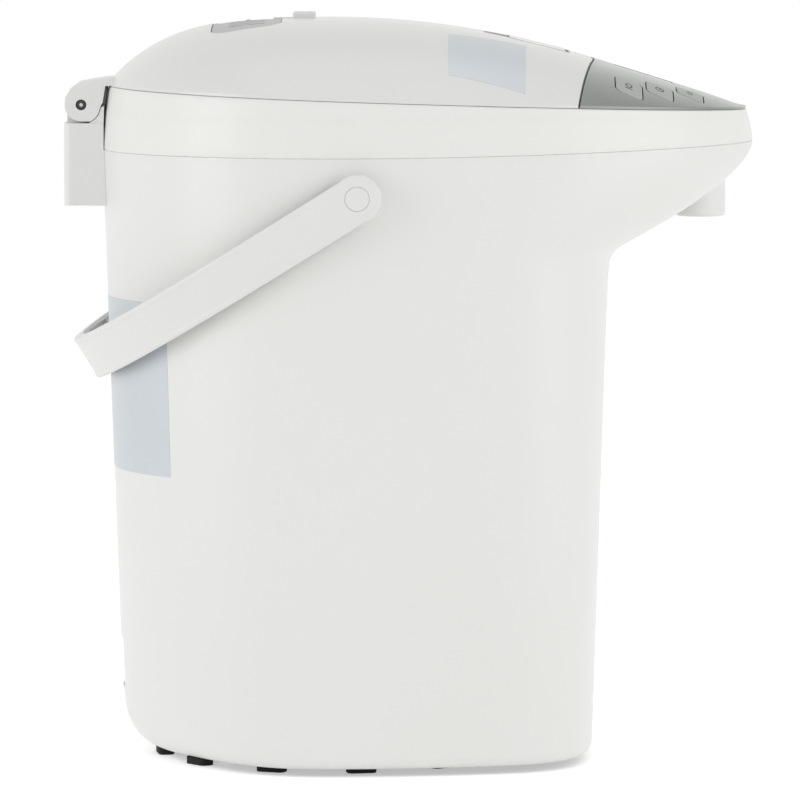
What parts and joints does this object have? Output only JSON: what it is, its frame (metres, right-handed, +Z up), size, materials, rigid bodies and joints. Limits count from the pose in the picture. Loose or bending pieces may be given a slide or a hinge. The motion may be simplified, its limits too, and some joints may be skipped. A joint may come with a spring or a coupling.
{
  "type": "electric thermo pot",
  "caption": "Countertop electric thermo pot with a beaked body, hinged lid with a lift lever, swinging bail handle and a pumped spout.",
  "frame": {"origin": "on the floor under the middle of the overall box, at the rubber feet's underside", "axes": "+Z up, +X towards the spout, +Y to the left of someone who stands behind the pot and looks along +X"},
  "size_m": [0.3022, 0.2176, 0.3267],
  "materials": {
    "body_white": "lightly glossy moulded plastic, warm white",
    "frame_white": "lightly glossy moulded plastic",
    "lid_white": "glossy moulded plastic, pale grey white",
    "trim_white": "moulded plastic, satin",
    "panel_grey": "silver-grey painted plastic",
    "key_grey": "matte moulded keys",
    "vent_grey": "matte grey plastic",
    "window_dark": "dark display window",
    "gauge_clear": "clear water gauge",
    "base_black": "dark moulded plastic",
    "rubber_black": "rubber",
    "seal_silicone": "pale silicone rubber",
    "liner_white": "heat-resistant plastic",
    "steel": "stainless steel",
    "heater_metal": "coated metal",
    "impeller_blue": "moulded impeller",
    "board_green": "circuit board",
    "contact_brass": "plated contacts"
  },
  "bodies": {
    "pot": {"outer_body": "body_white", "upper_frame": "frame_white", "base_plate": "base_black", "rubber_feet": "rubber_black", "base_screws": "steel", "vessel": "steel", "vessel_seal": "seal_silicone", "heat_shield": "steel", "band_heater": "heater_metal", "temperature_sensor": "steel", "thermal_fuse": "heater_metal", "pump_motor": "heater_metal", "pump_housing": "liner_white", "pump_cover": "liner_white", "suction_pipe": "seal_silicone", "riser_pipe": "seal_silicone", "level_tube": "gauge_clear", "gauge_window": "gauge_clear", "upper_pipe": "seal_silicone", "tip_valve_housing": "liner_white", "outlet_pipe": "seal_silicone", "spout_nozzle": "trim_white", "control_panel": "panel_grey", "display_window": "window_dark", "display_module": "base_black", "control_board": "board_green", "power_board": "board_green", "power_inlet": "base_black", "inlet_pins": "contact_brass", "hinge_bracket": "trim_white", "hinge_pin": "steel", "bail_pivots": "trim_white", "bail_caps": "trim_white"},
    "lid": {"lid_cover": "lid_white", "lid_hinge_arm": "trim_white", "lid_liner": "liner_white", "inner_lid": "steel", "lid_gasket": "seal_silicone", "lid_screws": "steel", "steam_vent": "vent_grey", "steam_valve": "seal_silicone", "lever_pin": "steel"},
    "lever": {"lid_lever": "lid_white"},
    "latch": {"latch_bolt": "heater_metal", "latch_springs": "steel"},
    "bail": {"bail": "trim_white"},
    "pump_rotor": {"pump_impeller": "impeller_blue"},
    "tip_ball": {"tip_valve_ball": "steel"},
    "key_first": {"key_1": "key_grey"},
    "key_second": {"key_2": "key_grey"},
    "key_third": {"key_3": "key_grey"},
    "key_for_pouring": {"key_pour": "key_grey"}
  },
  "joints": [
    {"name": "lid_hinge", "type": "hinge", "parent": "pot", "child": "lid", "pos_m": [-0.14345, 0, 0.2863], "axis": [0, -1, 0], "range_deg": [0, 95]},
    {"name": "bail_swing", "type": "hinge", "parent": "pot", "child": "bail", "pos_m": [-0.02215, 0, 0.2499], "axis": [0, 1, 0], "range_deg": [0, 180]},
    {"name": "lever_pivot", "type": "hinge", "parent": "lid", "child": "lever", "pos_m": [0.06416, 0, 0.30528], "axis": [0, 1, 0], "range_deg": [0, 16], "stiffness_Nm_per_rad": 0.2},
    {"name": "latch_slide", "type": "slide", "parent": "lid", "child": "latch", "axis": [-1, 0, 0], "range_m": [0, 0.0024]},
    {"name": "pump_spin", "type": "hinge", "parent": "pot", "child": "pump_rotor", "pos_m": [0.02625, 0, 0.03], "axis": [0, 0, 1], "continuous": true},
    {"name": "ball_rise", "type": "slide", "parent": "pot", "child": "tip_ball", "axis": [0, 0, 1], "range_m": [0, 0.0085]},
    {"name": "key_first_press", "type": "slide", "parent": "pot", "child": "key_first", "axis": [0, 0, -1], "range_m": [0, 0.0006], "stiffness_N_per_m": 400},
    {"name": "key_second_press", "type": "slide", "parent": "pot", "child": "key_second", "axis": [0, 0, -1], "range_m": [0, 0.0006], "stiffness_N_per_m": 400},
    {"name": "key_third_press", "type": "slide", "parent": "pot", "child": "key_third", "axis": [0, 0, -1], "range_m": [0, 0.0006], "stiffness_N_per_m": 400},
    {"name": "key_for_pouring_press", "type": "slide", "parent": "pot", "child": "key_for_pouring", "axis": [0, 0, -1], "range_m": [0, 0.0006], "stiffness_N_per_m": 400}
  ],
  "couplings": [
    {"joint": "latch_slide", "follows": "lever_pivot", "m_per_rad": 0.008236}
  ]
}
